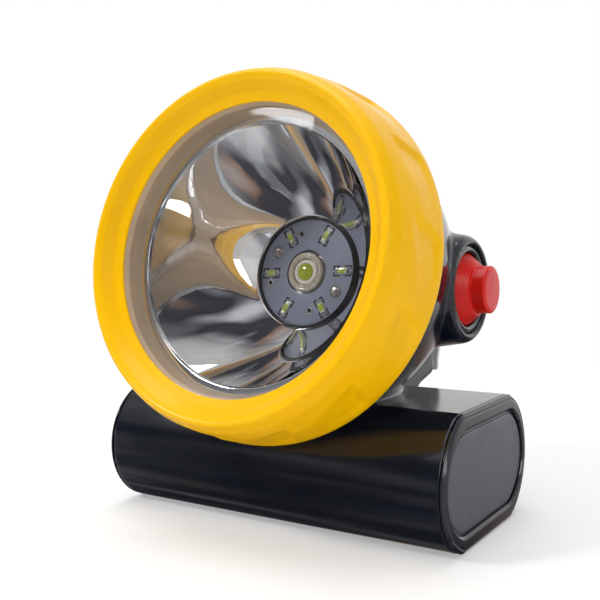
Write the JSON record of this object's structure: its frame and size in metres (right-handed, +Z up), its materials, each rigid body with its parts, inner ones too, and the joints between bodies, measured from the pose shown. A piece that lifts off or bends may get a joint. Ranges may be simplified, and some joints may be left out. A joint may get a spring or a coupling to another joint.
{
  "type": "cordless cap lamp",
  "caption": "Cordless miner's cap lamp: a tilted round head with a gripped screw-on bezel, on a battery tube with a side push button and a rear helmet hook.",
  "frame": {"origin": "centre of the battery tube's flat underside", "axes": "+Z up, +Y towards the helmet, so the beam leaves towards -Y and 12 degrees up; +X towards the push button"},
  "size_m": [0.078, 0.078, 0.0889],
  "materials": {
    "black_plastic": "gloss",
    "panel_plastic": "satin",
    "yellow_plastic": "gloss",
    "clear_lens": "clear",
    "tan_rubber": "satin",
    "black_rubber": "matte",
    "red_rubber": "satin",
    "chrome_plating": "mirror",
    "ring_plastic": "gloss",
    "board_mask": "satin",
    "green_board": "satin",
    "lamp_body": "satin",
    "clear_holder": "clear",
    "solder": "gloss",
    "aluminium": "satin",
    "brass": "satin",
    "steel": "satin",
    "nickel": "satin",
    "cell_wrap": "satin",
    "foam": "matte",
    "dark_parts": "matte",
    "white_plastic": "satin",
    "lead_red": "satin",
    "lead_black": "satin",
    "lead_white": "satin"
  },
  "bodies": {
    "lamp_body": {"housing": "black_plastic", "end_cap_right": "panel_plastic", "end_cap_left": "panel_plastic", "cap_seal_right": "black_rubber", "cap_seal_left": "black_rubber", "cell_front": "cell_wrap", "cell_rear": "cell_wrap", "cell_tabs_right": "nickel", "cell_tabs_left": "nickel", "protection_board": "green_board", "cell_pads": "foam", "bezel_oring": "black_rubber", "reflector": "chrome_plating", "board_ring": "ring_plastic", "lamp_board": "board_mask", "aux_lamps": "lamp_body", "main_lamp": "lamp_body", "main_optic": "clear_holder", "solder_joints": "solder", "heat_sink": "aluminium", "driver_board": "green_board", "driver_parts": "dark_parts", "driver_spacers": "brass", "switch_body": "dark_parts", "return_spring": "steel", "button_boot": "red_rubber", "boot_ring": "black_plastic", "helmet_hook": "steel", "hook_screws": "nickel", "charge_pin": "brass", "lamp_lead_red": "lead_red", "lamp_lead_black": "lead_black", "switch_leads": "lead_white", "battery_lead_red": "lead_red", "battery_lead_black": "lead_black", "charge_leads": "lead_white"},
    "lens_carrier": {"lens": "clear_lens", "lens_seal": "tan_rubber"},
    "bezel_ring": {"bezel": "yellow_plastic"},
    "button": {"button_top": "red_rubber", "switch_plunger": "white_plastic"}
  },
  "joints": [
    {"name": "bezel_advance", "type": "slide", "parent": "lamp_body", "child": "lens_carrier", "axis": [0, -0.9781, 0.2079], "range_m": [0, 0.006]},
    {"name": "bezel_turn", "type": "hinge", "parent": "lens_carrier", "child": "bezel_ring", "pos_m": [0, -0.0273, 0.0554], "axis": [0, -0.9781, 0.2079], "range_deg": [0, 720]},
    {"name": "button_press", "type": "slide", "parent": "lamp_body", "child": "button", "axis": [-1, 0, 0], "range_m": [0, 0.0018], "stiffness_N_per_m": 1200, "springref_m": -0.0004, "deforming": ["return_spring"]}
  ],
  "couplings": [
    {"joint": "bezel_advance", "follows": "bezel_turn", "m_per_rad": 0.00047746}
  ]
}
